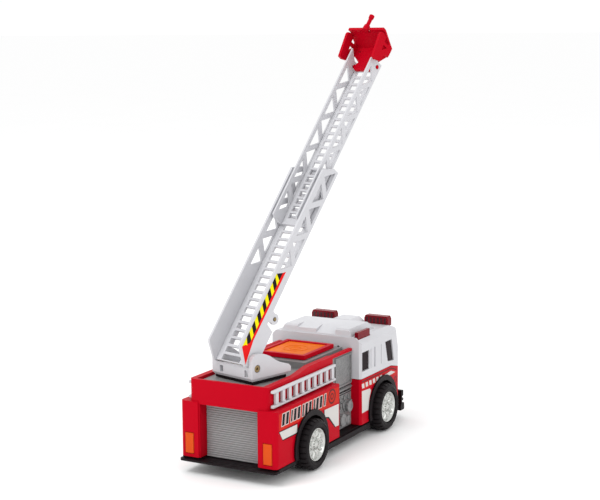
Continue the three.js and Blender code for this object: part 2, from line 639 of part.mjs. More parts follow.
// A brass rivet along X: a shank with a hollow head at each end.
function rivet(y, z, half, radius, headRadius) {
  const shank = rod("x", y, z, -half, half, radius);
  const heads = [
    rod("x", y, z, half - 0.5, half + 0.1, headRadius),
    rod("x", y, z, -half - 0.1, 0.5 - half, headRadius),
  ];
  const hollows = [
    rod("x", y, z, half - 1, half + 1, radius * 0.6, radius * 0.6, 12),
    rod("x", y, z, -half - 1, 1 - half, radius * 0.6, radius * 0.6, 12),
  ];
  return cut(joined([shank, ...heads]), hollows);
}

// The screw up the turntable's spigot, with its captive washer.
const tableScrew = () =>
  joined([
    rod("z", 0, 0, 40.6, 42.1, 7, 7, 24),
    rod("z", 0, 0, 39.5, 41, 2.6),
    rod("z", 0, 0, 41, 48.4, 1.2),
  ]);

// Ladder outlines are (along, out) pairs: distance up the ladder from its pin, and height above it.
// Up the ladder is -Y in its own frame, so that it lies forwards over the cab when it is down.
const alongLadder = (outline) => outline.map(([s, n]) => [-s, n]);
const ladderPlate = (outline, x0, x1) => prism(alongLadder(outline), "x", x0, x1);
const ladderBlock = (s0, s1, x0, x1, n0, n1) => block(x0, x1, -s1, -s0, n0, n1);
const sideWall = (outline, side, x, wall) =>
  side > 0 ? ladderPlate(outline, x - wall, x) : ladderPlate(outline, -x, wall - x);

const rungHoles = (first, last, half, n0, n1) => {
  const holes = [];
  for (let s = first; s <= last; s += RUNG_PITCH) {
    holes.push(ladderBlock(s - RUNG_OPENING / 2, s + RUNG_OPENING / 2, -half, half, n0 - 1, n1 + 1));
  }
  return holes;
};

// A zigzag of triangular windows: wide at the top rail at every pitch, and upside down between.
function trussHoles(first, last, n0, n1, half) {
  const holes = [];
  for (let s = first, up = true; s <= last; s += TRUSS_PITCH / 2, up = !up) {
    const [wide, narrow] = up ? [n1, n0] : [n0, n1];
    holes.push(ladderPlate([[s - half, wide], [s + half, wide], [s, narrow]], -20, 20));
  }
  return holes;
}

// The rung-pierced floor of a ladder section between its side walls.
const ladderFloor = ({ x, wall, low, floor, rungHalf }, s0, s1, firstRung, lastRung) => {
  const half = x - wall - SEAM;
  const holes = rungHoles(firstRung, lastRung, rungHalf, low, floor);
  return cut(ladderBlock(s0, s1, -half, half, low, floor), holes);
};

const lowerFloor = () => ladderFloor(LADDER, -1.2, LADDER.end, 0.9, 112);

function lowerWall(side) {
  const { x, wall, low, floor, top, end } = LADDER;
  const outline = [
    [-0.2, -1], [-0.2, 2.4], [-2.3, 5.8], [3.9, 14.4], [5.4, top], [end - 4.9, top], [end, 8.5],
    [end, low], [23.6, low], [22, -1.5], [0.4, -1.5],
  ];
  const [x0, x1] = side > 0 ? [x - wall, x] : [-x, wall - x];
  const pieces = [sideWall(outline, side, x, wall), rod("x", 0, 0, x0, x1, 2.2)];
  if (side < 0) {
    pieces.push(rod("x", -LUG.s, LUG.n, x0, x1, 3));
    pieces.push(ladderPlate([[25, 4.5], [31.4, 4.5], [30.9, 2], [25.5, 2]], x0, x1));
  }
  return cut(joined(pieces), [
    ...trussHoles(57.7, 110, floor + 0.3, 12.3, 6),
    rod("x", 0, 0, -20, 20, PIN_R + RUN),
    rod("x", -LUG.s, LUG.n, -20, 0, 1.2),
  ]);
}

const lugPin = () => rod("x", -LUG.s, LUG.n, -LADDER.x - 0.4, LADDER.wall - LADDER.x + 0.3, 0.9);

const extensionFloor = () =>
  ladderFloor(EXTENSION, EXTENSION.start, 180.6, 118.3 - 7 * RUNG_PITCH, 179.4);

// A side wall of the extension, with the runner that slides in the lower ladder.
function extensionWall(side) {
  const { x, wall, low, floor, top, start, end, runnerX } = EXTENSION;
  const outline = [[start, low], [185, low], [185.1, 10.2], [end, top], [start + 1.5, top], [start, 13.5]];
  const [x0, x1] = side > 0 ? [x - 0.5, runnerX] : [-runnerX, 0.5 - x];
  const runner = ladderBlock(start, start + 5.3, x0, x1, low, low + 3);
  return cut(sideWall(outline, side, x, wall).add(runner), [
    ...trussHoles(91.7, 176, floor + 0.05, 13.4, 6.3),
    rod("x", -BASKET.pivot, BASKET.pivotN, -20, 20, 1 + GAP, 1 + GAP, 20),
  ]);
}

function basket() {
  const { x, pivot, pivotN } = BASKET;
  const wall = [
    [182.3, 18.8], [182.2, 16.4], [183.7, 12.8], [188.3, 11.7], [189.1, 9.2], [190.4, 8.1],
    [195, 8.1], [195.9, 9.8], [198, 18.6], [197.4, 20.6], [196, 21],
  ];
  const windows = [
    [[194.4, 12.1], [196.6, 12.1], [198.2, 15.6], [194.4, 15.6]],
    [[192.6, 12.1], [192.6, 15.3], [189.3, 15]],
  ].map((outline) => ladderPlate(outline, -20, 20));
  const walls = sideWall(wall, 1, x, 1.6).add(sideWall(wall, -1, x, 1.6));
  const floor = ladderBlock(189.2, 195.3, 0.2 - x, x - 0.2, 8.1, 9.4);
  const farOutline = [[194.2, 8.1], [195.2, 8.1], [200.4, 18.4], [200.4, 20.6], [198.8, 20.6], [199, 18.6]];
  const far = ladderPlate(farOutline, 0.2 - x, x - 0.2);
  const tongueHalf = [
    [-pivot + 2.6, 5.6], [-pivot + 2, 7], [-pivot - 0.8, 7.2], [-pivot - 2.5, 5.7], [-189.5, 11.6],
  ];
  const tongueRight = tongueHalf.map(([y, u]) => [u, y]);
  const tongue = prism([...tongueRight, ...mirrorX(tongueRight)], "z", pivotN - 1, pivotN + 0.7);
  const trunnion = rod("x", -pivot, pivotN, -EXTENSION.x - 0.3, EXTENSION.x + 0.3, 1, 1, 20);
  const drains = [-8.6, 8.6].map((dx) => rod("z", dx, -191.8, 0, 30, 0.8, 0.8, 12));
  const cannonSeat = ladderBlock(198.2, 204, -2.5, 2.5, 18, 24);
  const pieces = [walls.subtract(joined(windows)), floor, far, tongue, trunnion];
  return cut(joined(pieces), [...drains, cannonSeat]);
}

function waterCannon() {
  const n = 20.5;
  const parts = [
    rod("y", 0, n, -201.8, -198.4, 2.1, 1.7, 16),
    rod("y", 0, n, -207, -201.6, 1.1, 1.1, 16),
    rod("y", 0, n, -208.6, -206.4, 1.4, 1.5, 16),
  ];
  return joined(parts).subtract(rod("y", 0, n, -210, -206, 0.6, 0.6, 12));
}

// ---------------------------------------------------------------- scene graph

const truck = new THREE.Group();

truck.add(mesh("chassis", chassis(), "black"));
truck.add(mesh("front_bumper", frontBumper(), "black"));
truck.add(mesh("rear_step", rearStep(), "black"));
truck.add(mesh("battery_cover", batteryCover(), "black"));
truck.add(mesh("battery_holder", batteryHolder(), "black"));
truck.add(mesh("speaker", speaker(), "black"));
for (let i = 0; i < 3; i++) truck.add(mesh(`battery_cell_${i + 1}`, batteryCell(i), "steel"));

truck.add(mesh("body_shell", bodyShell(), "red"));
truck.add(mesh("deck", deck(), "grey"));
truck.add(mesh("roller_shutter", rollerShutter(), "grey"));
truck.add(mesh("button_bezel", buttonBezel(), "red"));
truck.add(mesh("button_lens", buttonLens(), "orange"));
truck.add(mesh("button_spring", buttonSpring(), "steel"));
truck.add(mesh("circuit_board", circuitBoard(), "board"));
truck.add(mesh("tact_switch", tactSwitch(), "black"));
truck.add(mesh("light_diode", lightDiode(), "white"));

truck.add(mesh("cab_lower", cabLower(), "red"));
truck.add(mesh("cab_upper", cabUpper(), "white"));
truck.add(mesh("cab_windows", cabGlass(), "glass"));
truck.add(mesh("side_beacon", sideBeacon(), "lamp"));

for (const [hand, side] of SIDES) {
  truck.add(mesh(`rear_lamp_${hand}`, rearLamp(side), "orange"));
  truck.add(mesh(`side_ladder_${hand}`, sideLadder(side), "white"));
  truck.add(mesh(`pump_panel_${hand}`, pumpPanel(side), "grey"));
  truck.add(mesh(`front_beacon_${hand}`, frontBeacon(side), "lamp"));
  for (const [end, x, y] of SCREWS) {
    truck.add(mesh(`chassis_screw_${end}_${hand}`, screw(side * x, y), "steel"));
  }
}

for (const [end, y] of AXLES) {
  const axle = new THREE.Group();
  axle.position.set(0, y, AXLE_Z);
  axle.add(mesh(`${end}_axle`, rod("x", 0, 0, -AXLE_HALF, AXLE_HALF, AXLE_R), "steel"));
  for (const [hand, side] of SIDES) {
    axle.add(mesh(`${end}_tyre_${hand}`, turned(closed(tyreProfile), side), "rubber"));
    axle.add(mesh(`${end}_hub_${hand}`, turned(closed(hubProfile), side), "chrome"));
    truck.add(mesh(`${end}_arch_trim_${hand}`, archTrim(y, side), "black"));
  }
  truck.add(axle);
}

const table = new THREE.Group();
table.position.set(0, PIVOT_Y, 0);
table.rotation.z = YAW;
table.add(mesh("turntable", turntable(), "white"));
table.add(mesh("turntable_screw", tableScrew(), "steel"));
table.add(mesh("ladder_pin", rivet(PIN_BACK, PIN_Z, TABLE.x - 0.3, PIN_R, PIN_HEAD_R), "brass"));
truck.add(table);

const ladder = new THREE.Group();
ladder.position.set(0, PIN_BACK, PIN_Z);
ladder.rotation.x = -ELEVATION;
ladder.add(mesh("lower_ladder_floor", lowerFloor(), "white"));
ladder.add(mesh("lug_pin", lugPin(), "brass"));
ladder.add(mesh("extension_floor", extensionFloor(), "white"));
for (const [hand, side] of SIDES) {
  ladder.add(mesh(`lower_ladder_wall_${hand}`, lowerWall(side), "white"));
  ladder.add(mesh(`extension_wall_${hand}`, extensionWall(side), "white"));
}
ladder.add(mesh("basket", basket(), "red"));
ladder.add(mesh("water_cannon", waterCannon(), "red"));
table.add(ladder);

// The frame's origin is the centre of the footprint of the whole toy at rest, on the ground.
const bounds = new THREE.Box3().setFromObject(truck, true);
truck.position.set(-(bounds.min.x + bounds.max.x) / 2, -(bounds.min.y + bounds.max.y) / 2, 0);

export default new THREE.Group().add(truck);
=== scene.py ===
import json
import math

import bmesh
import bpy
from mathutils import Matrix, Vector


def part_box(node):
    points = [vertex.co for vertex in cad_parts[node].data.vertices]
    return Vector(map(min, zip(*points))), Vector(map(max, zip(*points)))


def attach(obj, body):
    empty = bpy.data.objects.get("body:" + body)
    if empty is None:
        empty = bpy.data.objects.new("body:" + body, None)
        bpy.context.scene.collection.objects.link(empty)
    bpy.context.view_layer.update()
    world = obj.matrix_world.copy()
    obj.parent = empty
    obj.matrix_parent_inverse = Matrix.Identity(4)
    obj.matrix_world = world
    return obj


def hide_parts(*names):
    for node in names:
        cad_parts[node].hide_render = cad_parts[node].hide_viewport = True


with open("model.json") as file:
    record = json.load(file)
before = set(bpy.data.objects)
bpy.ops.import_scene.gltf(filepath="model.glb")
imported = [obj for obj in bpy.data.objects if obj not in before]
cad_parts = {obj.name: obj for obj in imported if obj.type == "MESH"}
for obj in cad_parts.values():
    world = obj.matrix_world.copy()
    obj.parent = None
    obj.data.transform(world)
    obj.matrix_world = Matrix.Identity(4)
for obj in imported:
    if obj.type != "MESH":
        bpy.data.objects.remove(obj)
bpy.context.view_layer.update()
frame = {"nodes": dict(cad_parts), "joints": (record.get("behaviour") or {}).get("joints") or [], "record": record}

# ------------------------------------------------------------------ places, in millimetres

MM = 0.001
TAU = 2 * math.pi
JOINTS = {joint["name"]: joint for joint in frame["joints"]}
REAR_AXLE = Vector((0, 37, 13.8))  # in the truck's own centred frame
FRONT_AXLE = Vector((0, -50, 13.8))
SHIFT = Vector(JOINTS["rear_wheels_roll"]["pos_m"]) / MM - REAR_AXLE
PIN = Vector(JOINTS["ladder_raise"]["pos_m"]) / MM
ACROSS = Vector(JOINTS["ladder_raise"]["axis"])
ALONG = Vector(JOINTS["ladder_extend"]["axis"])
OUT = ALONG.cross(ACROSS)
SWIVEL = Vector(JOINTS["turntable_swivel"]["pos_m"]) / MM
BACK = Vector((0, 0, 1)).cross(ACROSS)
SIDES = (("left", 1), ("right", -1))

BODY_X = 29.1  # the side walls of the rear body and the cab
CAB_FRONT_Y = -75.9
CAB_REAR_Y = -22.9
LADDER_WALL_X = 12.1  # the outer faces of the lower ladder


def truck(x, y, z):
    """A point of the truck: x to its left, y to its rear, z up from the ground."""
    return (SHIFT + Vector((x, y, z))) * MM


def ladder(x, s, n):
    """A point of the ladder: x to its left, s up along it from its pin, n out of its open side."""
    return (PIN + ACROSS * x + ALONG * s + OUT * n) * MM


def table(x, y, z):
    """A point of the turntable: x to its left, y behind the swivel axis, z up from the ground."""
    return (Vector((SWIVEL.x, SWIVEL.y, 0)) + ACROSS * x + BACK * y + Vector((0, 0, z))) * MM


# ------------------------------------------------------------------ materials


# Sockets of a Mix node that mixes colours.
MIX_FACTOR = 0
MIX_FIRST = 6
MIX_SECOND = 7
MIX_RESULT = 2


class Look:
    """A node material under construction: a Principled shader with object-space textures."""

    def __init__(self, name, colour, roughness, metallic=0.0):
        self.material = bpy.data.materials.new(name)
        self.material.use_nodes = True
        self.tree = self.material.node_tree
        self.shader = self.tree.nodes["Principled BSDF"]
        self.colour = (*colour, 1.0)
        self.shader.inputs["Base Color"].default_value = self.colour
        self.shader.inputs["Roughness"].default_value = roughness
        self.shader.inputs["Metallic"].default_value = metallic
        self.place = self.node("ShaderNodeTexCoord").outputs["Object"]

    def node(self, kind, **settings):
        made = self.tree.nodes.new(kind)
        for key, value in settings.items():
            setattr(made, key, value)
        return made

    def link(self, source, target):
        self.tree.links.new(source, target)

    def set(self, socket, value):
        self.shader.inputs[socket].default_value = value
        return self

    def noise(self, scale, detail, roughness=0.55, stretch=None):
        made = self.node("ShaderNodeTexNoise")
        made.inputs["Scale"].default_value = scale
        made.inputs["Detail"].default_value = detail
        made.inputs["Roughness"].default_value = roughness
        place = self.place
        if stretch:
            mapping = self.node("ShaderNodeMapping")
            mapping.inputs["Scale"].default_value = stretch
            self.link(place, mapping.inputs["Vector"])
            place = mapping.outputs["Vector"]
        self.link(place, made.inputs["Vector"])
        return made.outputs["Fac"]

    def remap(self, value, low, high, from_low=0.3, from_high=0.7):
        made = self.node("ShaderNodeMapRange")
        made.inputs["From Min"].default_value = from_low
        made.inputs["From Max"].default_value = from_high
        made.inputs["To Min"].default_value = low
        made.inputs["To Max"].default_value = high
        self.link(value, made.inputs["Value"])
        return made.outputs["Result"]

    def tint(self, value, other):
        """Mixes the base colour towards another by a 0 to 1 value."""
        mix = self.node("ShaderNodeMix", data_type="RGBA")
        mix.inputs[MIX_FIRST].default_value = self.colour
        mix.inputs[MIX_SECOND].default_value = (*other, 1.0)
        self.link(value, mix.inputs[MIX_FACTOR])
        self.link(mix.outputs[MIX_RESULT], self.shader.inputs["Base Color"])
        return self

    def rough(self, value):
        self.link(value, self.shader.inputs["Roughness"])
        return self

    def bump(self, *layers):
        """Bump from (height value, distance in mm, strength) layers."""
        normal = None
        for height, distance, strength in layers:
            made = self.node("ShaderNodeBump")
            made.inputs["Distance"].default_value = distance * MM
            made.inputs["Strength"].default_value = strength
            self.link(height, made.inputs["Height"])
            if normal is not None:
                self.link(normal, made.inputs["Normal"])
            normal = made.outputs["Normal"]
        self.link(normal, self.shader.inputs["Normal"])
        return self


def moulded(name, colour, roughness, drifted, specular=0.25, grain=0.1, spread=0.06):
    """Injection-moulded plastic: slight colour drift, uneven gloss, fine grain and faint scuffs."""
    look = Look(name, colour, roughness)
    look.tint(look.remap(look.noise(45, 2), 0.0, 0.5), drifted)
    look.rough(look.remap(look.noise(160, 4, 0.6), roughness - spread, roughness + spread))
    waves = look.noise(90, 2)
    scuffs = look.noise(700, 3, 0.7, stretch=(1.0, 0.12, 1.0))
    look.bump((waves, 0.04, 0.04), (scuffs, 0.006, 0.06), (look.noise(2600, 2), 0.006, grain))
    return look.set("Specular IOR Level", specular)


def printed(name, colour, drifted):
    """Ink on a thin sticker."""
    return moulded(name, colour, 0.42, drifted, specular=0.05)


def lens_plastic(name, colour, deep, specular=0.35):
    """Clear coloured plastic that scatters light a little, with a polished face."""
    look = moulded(name, colour, 0.16, deep, specular, grain=0.08, spread=0.04)
    look.set("Subsurface Weight", 0.25)
    look.set("Subsurface Radius", (0.003, 0.0012, 0.0006))
    return look.set("Transmission Weight", 0.08)


def cast_metal():
    """Grey plastic with the coarse crackle of a cast plate."""
    look = moulded("cast_grey_plastic", (0.235, 0.235, 0.235), 0.4, (0.16, 0.16, 0.165), 0.5)
    cells = look.node("ShaderNodeTexVoronoi", feature="DISTANCE_TO_EDGE")
    cells.inputs["Scale"].default_value = 620
    look.link(look.place, cells.inputs["Vector"])
    crackle = look.remap(cells.outputs["Distance"], 0.0, 1.0, 0.0, 0.25)
    pits = look.noise(900, 5, 0.75)
    look.bump((crackle, 0.25, 0.5), (pits, 0.3, 0.7))
    shade = look.remap(pits, 0.7, 0.0, 0.35, 0.6)
    return look.tint(shade, (0.1, 0.1, 0.105))


def metal_look(name, colour, roughness, stretch):
    """Plated or drawn metal with fine directional marks."""
    look = Look(name, colour, roughness, 1.0)
    marks = look.noise(900, 4, 0.6, stretch=stretch)
    look.rough(look.remap(marks, roughness * 0.7, roughness * 1.4))
    look.tint(look.remap(look.noise(120, 3), 0.0, 0.6), tuple(c * 0.75 for c in colour))
    return look.bump((marks, 0.01, 0.3))


def chrome_look():
    """Vacuum-metallised plastic, slightly orange-peeled."""
    look = Look("chromed_hub_plastic", (0.6, 0.61, 0.585), 0.2, 1.0)
    peel = look.noise(520, 3, 0.6)
    look.rough(look.remap(peel, 0.14, 0.3))
    look.tint(look.remap(look.noise(300, 2), 0.0, 0.6), (0.42, 0.43, 0.415))
    return look.bump((peel, 0.06, 0.2), (look.noise(1500, 2), 0.02, 0.15))


looks = {
    "red": moulded("red_gloss_plastic", (0.48, 0.0015, 0.012), 0.34, (0.43, 0.0012, 0.0105), 0.03),
    "white": moulded("white_satin_plastic", (0.57, 0.57, 0.595), 0.38, (0.54, 0.54, 0.563), 0.2),
    "grey": moulded("grey_satin_plastic", (0.235, 0.23, 0.23), 0.45, (0.2, 0.195, 0.195), 0.3, 0.35),
    "shutter": moulded("shutter_grey_plastic", (0.3, 0.295, 0.297), 0.5, (0.28, 0.275, 0.277), 0.1, 0.05),
    "cast": cast_metal(),
    "black": moulded("black_satin_plastic", (0.008, 0.005, 0.006), 0.45, (0.012, 0.008, 0.01), 0.1, 0.3),
    "tyre": moulded("tyre_black_plastic", (0.007, 0.005, 0.006), 0.5, (0.013, 0.01, 0.011), 0.12, 0.5),
    "glass": moulded("dark_tinted_window", (0.012, 0.006, 0.008), 0.2, (0.016, 0.009, 0.011), 0.03, 0.05),
    "orange": lens_plastic("orange_lens_plastic", (0.75, 0.15, 0.006), (0.7, 0.11, 0.005), 0.004),
    "lamp_orange": lens_plastic("rear_lamp_plastic", (0.7, 0.09, 0.012), (0.64, 0.075, 0.01), 0.03),
    "beacon": lens_plastic("beacon_red_plastic", (0.2, 0.004, 0.011), (0.13, 0.002, 0.008), 0.06),
    "beacon_core": lens_plastic("beacon_dark_core", (0.05, 0.003, 0.006), (0.03, 0.003, 0.005)),
    "chrome": chrome_look(),
    "steel": metal_look("zinc_plated_steel", (0.6, 0.6, 0.58), 0.3, (1, 0.1, 1)),
    "brass": metal_look("plain_brass", (0.3, 0.22, 0.11), 0.35, (0.1, 1, 1)),
    "board": moulded("green_circuit_board", (0.015, 0.12, 0.045), 0.4, (0.012, 0.08, 0.03)),
    "diode": lens_plastic("clear_diode_epoxy", (0.8, 0.8, 0.75), (0.7, 0.7, 0.66)),
    "decal_white": printed("decal_white_print", (0.62, 0.6, 0.575), (0.57, 0.55, 0.53)),
    "decal_red": printed("decal_red_print", (0.55, 0.022, 0.01), (0.5, 0.018, 0.009)),
    "decal_dark": printed("decal_dark_print", (0.012, 0.008, 0.01), (0.02, 0.014, 0.016)),
    "decal_maroon": printed("decal_maroon_print", (0.12, 0.02, 0.02), (0.09, 0.015, 0.015)),
    "decal_yellow": printed("decal_yellow_print", (0.84, 0.76, 0.004), (0.78, 0.7, 0.004)),
    "decal_bright": printed("decal_scarlet_print", (0.76, 0.012, 0.012), (0.7, 0.01, 0.01)),
}

SLOT_LOOKS = {
    "red_plastic": "red", "white_plastic": "white", "grey_plastic": "grey", "black_plastic": "black",
    "tyre_plastic": "tyre", "chrome_hub": "chrome", "steel": "steel", "brass": "brass",
    "orange_lens": "orange", "red_lens": "beacon", "window_glass": "glass", "board": "board",
    "diode": "diode",
}
# By the start of a node's name: a look other than its slot's.
NODE_LOOKS = {"rear_lamp": "lamp_orange", "pump_panel": "cast"}
# Nodes with rows of holes: a bevel on their dissolved flat faces would overlap itself.
PIERCED = ("deck", "water_cannon", "side_ladder", "lower_ladder_floor", "extension_floor")
# By the start of a node's name: the width of its bevel, in millimetres.
NODE_EDGES = {
    "side_ladder": 0.5, "cab_upper": 0.5, "cab_lower": 0.4, "body_shell": 0.4, "turntable": 0.35,
}
USUAL_EDGE = 0.2
WELD_GAP = 0.004
FLAT_ANGLE = math.radians(0.6)
NODE_CREASE = math.radians(32)
PIECE_CREASE = math.radians(35)
EDGE_SEGMENTS = 2


def by_prefix(name, table, usual):
    """The table's value for the key that the name starts with."""
    return next((value for prefix, value in table.items() if name.startswith(prefix)), usual)


def dress_nodes():
    """Gives each CAD node its slot's material and softened moulded edges."""
    for entry in frame["record"]["subparts"]:
        name = entry["node"]
        node = frame["nodes"][name]
        look = looks[by_prefix(name, NODE_LOOKS, SLOT_LOOKS[entry["material_slot"]])]
        node.data.materials.clear()
        node.data.materials.append(look.material)
        soften(node, by_prefix(name, NODE_EDGES, USUAL_EDGE), not name.startswith(PIERCED))


def soften(obj, width, dissolve):
    """Rounds hard edges by a width in millimetres, after dissolving the flat faces if asked."""
    mesh = obj.data
    if "custom_normal" in mesh.attributes:
        mesh.attributes.remove(mesh.attributes["custom_normal"])
    weld = obj.modifiers.new("weld", "WELD")
    weld.merge_threshold = WELD_GAP * MM
    if dissolve:
        flat = obj.modifiers.new("flat", "DECIMATE")
        flat.decimate_type = "DISSOLVE"
        flat.angle_limit = FLAT_ANGLE
    bevel = obj.modifiers.new("edges", "BEVEL")
    bevel.width = width * MM
    bevel.segments = EDGE_SEGMENTS
    bevel.limit_method = "ANGLE"
    bevel.angle_limit = NODE_CREASE
    bevel.use_clamp_overlap = True
    bevel.harden_normals = True
    for polygon in mesh.polygons:
        polygon.use_smooth = True


# ------------------------------------------------------------------ piece building


def finish_mesh(name, bm, look, body, bevel=0.0, smooth=40):
    """Makes an object of a built mesh, with its look, bevel in millimetres and body."""
    bmesh.ops.recalc_face_normals(bm, faces=bm.faces)
    mesh = bpy.data.meshes.new(name)
    bm.to_mesh(mesh)
    bm.free()
    for polygon in mesh.polygons:
        polygon.use_smooth = True
    mesh.set_sharp_from_angle(angle=math.radians(smooth))
    obj = bpy.data.objects.new(name, mesh)
    bpy.context.scene.collection.objects.link(obj)
    mesh.materials.append(looks[look].material)
    if bevel:
        edges = obj.modifiers.new("edges", "BEVEL")
        edges.width = bevel * MM
        edges.segments = EDGE_SEGMENTS
        edges.limit_method = "ANGLE"
        edges.angle_limit = PIECE_CREASE
        edges.harden_normals = True
    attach(obj, body)
    return obj


def add_slab(bm, outline, place, low, high):
    """Adds a closed plate: an outline of (u, v) points between two levels of w."""
    near = [bm.verts.new(place(u, v, low)) for u, v in outline]
    far = [bm.verts.new(place(u, v, high)) for u, v in outline]
    bm.faces.new(near)
    bm.faces.new(far[::-1])
    for i in range(len(outline)):
        j = (i + 1) % len(outline)
        bm.faces.new((near[i], far[i], far[j], near[j]))


def slabs(name, outlines, place, low, high, look, body, bevel=0.0, slot=None):
    """Makes one piece of closed plates that share their two levels."""
    bm = bmesh.new()
    for outline in outlines:
        add_slab(bm, outline, place, low, high)
    return finish_mesh(name, bm, look, body, bevel)


def add_turned(bm, profile, place, segments, wave):
    """Adds a turned body from an axis-to-axis (radius, height) profile, shaped further by wave."""
    rings = []
    for r, h in profile:
        if r == 0:
            rings.append([bm.verts.new(place(0, 0, h))])
            continue
        ring = []
        for k in range(segments):
            angle = TAU * k / segments
            radius, height = wave(r, h, angle)
            across, upward = radius * math.cos(angle), radius * math.sin(angle)
            ring.append(bm.verts.new(place(across, upward, height)))
        rings.append(ring)
    for a, b in zip(rings, rings[1:]):
        for k in range(segments):
            m = (k + 1) % segments
            corners = [a[k % len(a)], a[m % len(a)], b[m % len(b)], b[k % len(b)]]
            unique = list(dict.fromkeys(corners))
            if len(unique) > 2:
                bm.faces.new(unique)


def turned(name, profiles, places, look, body, segments, wave):
    """Makes one piece of several turned bodies."""
    bm = bmesh.new()
    for profile, place in zip(profiles, places):
        add_turned(bm, profile, place, segments, wave)
    return finish_mesh(name, bm, look, body)


def circle(cu, cv, radius, count=32):
    """A round outline."""
    angles = [TAU * k / count for k in range(count)]
    return [(cu + radius * math.cos(a), cv + radius * math.sin(a)) for a in angles]


def ring_parts(cu, cv, outer, inner, count=32):
    """A flat ring as two half outlines."""
    halves = []
    for start in (0, count // 2):
        steps = range(start, start + count // 2 + 1)
        arc = [TAU * k / count for k in steps]
        rim = [(cu + outer * math.cos(a), cv + outer * math.sin(a)) for a in arc]
        hole = [(cu + inner * math.cos(a), cv + inner * math.sin(a)) for a in reversed(arc)]
        halves.append(rim + hole)
    return halves


def wall_place(side, x=BODY_X):
    """Places (y, z, out) on the truck's side wall."""
    return lambda y, z, w: truck(side * (x + w), y, z)


# ------------------------------------------------------------------ wheels

WHEEL_X = 22.6  # the inner face of each tyre
TREAD_BLOCKS = 26
TREAD_MIDDLE = 5.6  # the blocks beyond this height are turned by half a block
GROOVE_END, BLOCK_START, BLOCK_END = 0.16, 0.22, 0.94  # shares of a block's pitch


def wheel_place(axle, side):
    """Places (forward, up, out) from an axle, out from the inner face of its tyre."""
    return lambda a, b, h: truck(side * (WHEEL_X + h), axle.y + a, axle.z + b)


def tyre_profile():
    """(radius, height, how far the tread grooves cut) round the tyre's section."""
    return [
        (9.3, 0.2, 0), (10.6, 0.0, 0), (12.4, 0.15, 0), (13.05, 0.7, 0.15), (13.5, 1.4, 0.6),
        (13.75, 2.2, 0.65), (13.8, 4.9, 0.65), (13.72, 5.15, 0.5), (13.3, 5.3, 0), (13.3, 5.9, 0),
        (13.72, 6.05, 0.5), (13.8, 6.3, 0.65), (13.75, 9.0, 0.65), (13.45, 9.9, 0.6), (13.0, 10.6, 0.35),
        (12.5, 11.0, 0.05), (11.9, 11.25, 0), (11.5, 11.22, 0), (11.35, 11.05, 0), (10.7, 11.05, 0),
        (10.5, 11.2, 0), (9.9, 11.1, 0), (9.5, 10.9, 0), (9.3, 10.4, 0),
    ]


def tyre(end, hand, axle, side):
    """A tyre with two rows of tread blocks."""
    name = f"{end}_tyre_{hand}"
    place = wheel_place(axle, side)
    marks = []
    for k in range(TREAD_BLOCKS):
        marks += [(k, 1), (k + GROOVE_END, 1), (k + BLOCK_START, 0), (k + BLOCK_END, 0)]
    bm = bmesh.new()
    rings = []
    for radius, height, cut in tyre_profile():
        lean = 0.5 if height > TREAD_MIDDLE else 0.0
        ring = []
        for mark, groove in marks:
            angle = TAU * (mark + lean * (cut > 0)) / TREAD_BLOCKS
            r = radius - cut * groove
            ring.append(bm.verts.new(place(r * math.cos(angle), r * math.sin(angle), height)))
        rings.append(ring)
    count = len(marks)
    for a, b in zip(rings, rings[1:] + rings[:1]):
        for k in range(count):
            m = (k + 1) % count
            bm.faces.new((a[k], a[m], b[m], b[k]))
    obj = finish_mesh(f"{name}_tread", bm, "tyre", f"{end}_wheels", smooth=28)
    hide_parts(name)


SPOKES = 10
HUB_SEGMENTS = 120
HUB_R = 9.0
HUB_TOP = 10.6
HUB_DISH = 9.1  # the face between the spokes
HUB_EDGE = 10.3  # the face at its outermost ring
HUB_BACK = 1.2
BORE_R = 1.8
BORE_END = 8.4
NUT_CIRCLE_R = 2.35
NUT_R = 0.42


def hub_height(r, angle):
    """The hub's face: a dished rim with raised spokes round a domed centre."""
    lip = HUB_TOP - 0.9 * max(0.0, abs(r - 8.5) - 0.15)
    dish = HUB_DISH - 0.10 * (7.6 - r)
    centre = 10.5 - 0.16 * r * r
    spoke = max(0.0, math.cos(angle * SPOKES)) ** 0.7
    band = math.exp(-(((r - 5.6) / 1.9) ** 4))
    height = dish + 1.0 * spoke * band
    if r > 7.5:
        height = max(height, min(lip, HUB_DISH + (r - 7.4) * 2.6))
    if r < 3.3:
        height = max(height, centre)
    return min(height, HUB_TOP)


